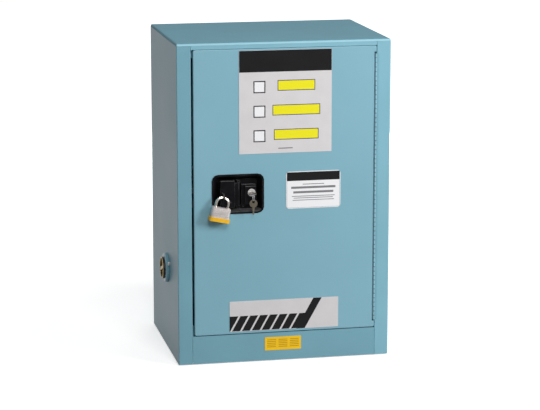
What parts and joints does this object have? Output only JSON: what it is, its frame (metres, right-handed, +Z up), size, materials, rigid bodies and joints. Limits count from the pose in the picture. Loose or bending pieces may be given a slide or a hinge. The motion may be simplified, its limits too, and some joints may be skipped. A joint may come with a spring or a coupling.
{
  "type": "flammable safety cabinet",
  "caption": "double-walled steel storage cabinet with a hinged door, a recessed paddle latch with key lock and padlock, a shelf, a sump and capped vents",
  "frame": {"origin": "bottom centre of the whole part's box, on the plane that the feet rest on", "axes": "+Z up, -Y towards the viewer of the door, +X to the right of the door"},
  "size_m": [0.624, 0.4935, 0.889],
  "materials": {
    "blue_paint": "light blue powder coat, slightly satin",
    "galvanised": "galvanised sheet",
    "white_tray": "moulded off-white plastic",
    "brass": "cast brass, slightly dull",
    "zinc_steel": "bright zinc plate",
    "yellow_plate": "yellow printed film, bare of words",
    "silver_plate": "silver reflective film, bare of words",
    "white_plate": "white printed film, bare of words",
    "black_casting": "black coated zinc casting, satin",
    "black_rod": "black oxide rod",
    "chrome": "polished chrome plate",
    "key_nickel": "worn nickel",
    "lock_steel": "laminated steel plates, plated",
    "yellow_bumper": "yellow plastic bumper"
  },
  "bodies": {
    "cabinet": {"left_side_panel": "blue_paint", "right_side_panel": "blue_paint", "top_panel": "blue_paint", "back_panel": "blue_paint", "base_panel": "blue_paint", "door_header": "blue_paint", "bottom_rail": "blue_paint", "left_liner": "blue_paint", "right_liner": "blue_paint", "back_liner": "blue_paint", "ceiling_liner": "blue_paint", "sump_pan": "blue_paint", "left_shelf_rail": "galvanised", "right_shelf_rail": "galvanised", "hinge_frame_leaf": "zinc_steel", "hinge_pin": "zinc_steel", "upper_strike": "zinc_steel", "lower_strike": "zinc_steel", "side_strike": "zinc_steel", "left_vent_collar": "blue_paint", "left_vent_screen": "brass", "right_vent_collar": "blue_paint", "right_vent_screen": "brass", "ground_screw": "zinc_steel", "rail_label": "yellow_plate"},
    "door": {"door_skin": "blue_paint", "door_liner": "blue_paint", "hinge_door_leaf": "zinc_steel", "door_label": "silver_plate", "small_label": "white_plate", "stripe_label": "silver_plate", "handle_dish": "black_casting", "paddle_pin": "zinc_steel", "lock_housing": "black_casting", "lock_barrel": "chrome", "latch_plate": "zinc_steel", "hub_spring": "zinc_steel", "upper_rod_guide": "zinc_steel", "lower_rod_guide": "zinc_steel"},
    "paddle": {"handle_paddle": "black_casting"},
    "hub": {"latch_hub": "zinc_steel"},
    "upper_bolt": {"upper_rod": "black_rod"},
    "lower_bolt": {"lower_rod": "black_rod"},
    "side_bolt": {"centre_bolt": "zinc_steel"},
    "plug": {"lock_plug": "chrome", "door_key": "key_nickel", "lock_cam": "zinc_steel"},
    "key_bunch": {"key_ring": "zinc_steel", "spare_key": "key_nickel"},
    "shackle": {"padlock_shackle": "lock_steel"},
    "padlock": {"padlock_body": "lock_steel", "padlock_bumper": "yellow_bumper"},
    "left_cap": {"left_vent_cap": "brass"},
    "right_cap": {"right_vent_cap": "brass"},
    "shelf": {"shelf": "galvanised"},
    "tray": {"shelf_tray": "white_tray"},
    "foot_fl": {"front_left_foot": "zinc_steel"},
    "foot_fr": {"front_right_foot": "zinc_steel"},
    "foot_rl": {"rear_left_foot": "zinc_steel"},
    "foot_rr": {"rear_right_foot": "zinc_steel"}
  },
  "joints": [
    {"name": "door_hinge", "type": "hinge", "parent": "cabinet", "child": "door", "pos_m": [0.2538, -0.21272, 0.4765], "axis": [0, 0, 1], "range_deg": [0, 180]},
    {"name": "paddle_pull", "type": "hinge", "parent": "door", "child": "paddle", "pos_m": [-0.1275, -0.20372, 0.476], "axis": [0, 0, 1], "range_deg": [0, 35], "stiffness_Nm_per_rad": 0.6, "springref_deg": -28.65},
    {"name": "hub_turn", "type": "hinge", "parent": "door", "child": "hub", "pos_m": [-0.1394, -0.18422, 0.4682], "axis": [0, 1, 0], "range_deg": [0, 42]},
    {"name": "upper_rod_slide", "type": "slide", "parent": "door", "child": "upper_bolt", "axis": [0, 0, -1], "range_m": [0, 0.012]},
    {"name": "lower_rod_slide", "type": "slide", "parent": "door", "child": "lower_bolt", "axis": [0, 0, 1], "range_m": [0, 0.012]},
    {"name": "centre_bolt_slide", "type": "slide", "parent": "door", "child": "side_bolt", "axis": [1, 0, 0], "range_m": [0, 0.012]},
    {"name": "key_turn", "type": "hinge", "parent": "door", "child": "plug", "pos_m": [-0.0915, -0.21222, 0.478], "axis": [0, -1, 0], "range_deg": [0, 90]},
    {"name": "spare_key_swing", "type": "hinge", "parent": "plug", "child": "key_bunch", "pos_m": [-0.0915, -0.23597, 0.478], "axis": [0, 1, 0], "range_deg": [-30, 30]},
    {"name": "padlock_swing", "type": "hinge", "parent": "paddle", "child": "shackle", "pos_m": [-0.1724, -0.22873, 0.471], "axis": [-1, 0, 0], "range_deg": [0, 60]},
    {"name": "padlock_pop", "type": "slide", "parent": "shackle", "child": "padlock", "axis": [-0.2079, 0, -0.9781], "range_m": [0, 0.008]},
    {"name": "left_cap_turn", "type": "hinge", "parent": "cabinet", "child": "left_cap", "pos_m": [-0.2955, -0.02022, 0.235], "axis": [-1, 0, 0], "continuous": true},
    {"name": "right_cap_turn", "type": "hinge", "parent": "cabinet", "child": "right_cap", "pos_m": [0.2955, -0.02022, 0.759], "axis": [1, 0, 0], "continuous": true},
    {"name": "shelf_lift", "type": "slide", "parent": "cabinet", "child": "shelf", "axis": [0, 0, 1], "range_m": [0, 0.02]},
    {"name": "tray_lift", "type": "slide", "parent": "shelf", "child": "tray", "axis": [0, 0, 1], "range_m": [0, 0.02]},
    {"name": "front_left_foot_turn", "type": "hinge", "parent": "cabinet", "child": "foot_fl", "pos_m": [-0.2475, -0.16023, 0.02], "axis": [0, 0, 1], "continuous": true},
    {"name": "front_right_foot_turn", "type": "hinge", "parent": "cabinet", "child": "foot_fr", "pos_m": [0.2475, -0.16023, 0.02], "axis": [0, 0, 1], "continuous": true},
    {"name": "rear_left_foot_turn", "type": "hinge", "parent": "cabinet", "child": "foot_rl", "pos_m": [-0.2475, 0.19678, 0.02], "axis": [0, 0, 1], "continuous": true},
    {"name": "rear_right_foot_turn", "type": "hinge", "parent": "cabinet", "child": "foot_rr", "pos_m": [0.2475, 0.19678, 0.02], "axis": [0, 0, 1], "continuous": true}
  ],
  "couplings": [
    {"joint": "hub_turn", "follows": "paddle_pull", "ratio": 1.2},
    {"joint": "upper_rod_slide", "follows": "paddle_pull", "m_per_rad": 0.01964},
    {"joint": "lower_rod_slide", "follows": "paddle_pull", "m_per_rad": 0.01964},
    {"joint": "centre_bolt_slide", "follows": "paddle_pull", "m_per_rad": 0.01964}
  ]
}
